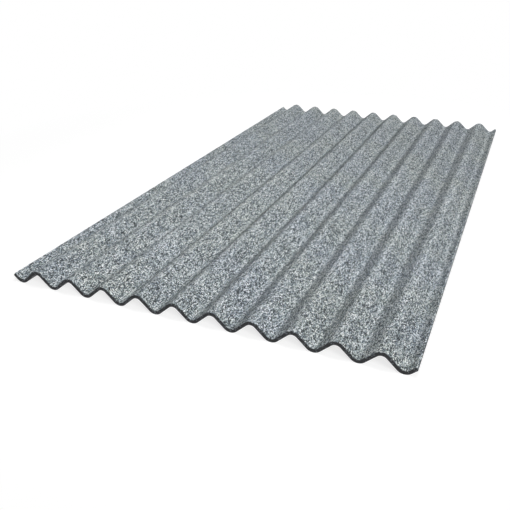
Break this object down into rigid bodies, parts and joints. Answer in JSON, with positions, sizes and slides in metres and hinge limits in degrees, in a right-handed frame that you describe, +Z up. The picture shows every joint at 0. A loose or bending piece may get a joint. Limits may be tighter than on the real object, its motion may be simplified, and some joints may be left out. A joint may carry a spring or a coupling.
{
  "type": "corrugated metal sheet",
  "caption": "Roofing sheet with a rounded wave running across its width and straight along its length, mineral granule face on top, dark square-cut edges.",
  "frame": {"origin": "on the ground, under the middle of the sheet", "axes": "+Y along the crests, which is the sheet's length; +X across the waves; +Z up, out of the granule-coated face; millimetre source, metre record"},
  "size_m": [0.8044, 1.524, 0.0312],
  "materials": {
    "granule_coated_sheet": "matte"
  },
  "bodies": {
    "root": {"corrugated_sheet": "granule_coated_sheet"}
  },
  "joints": []
}
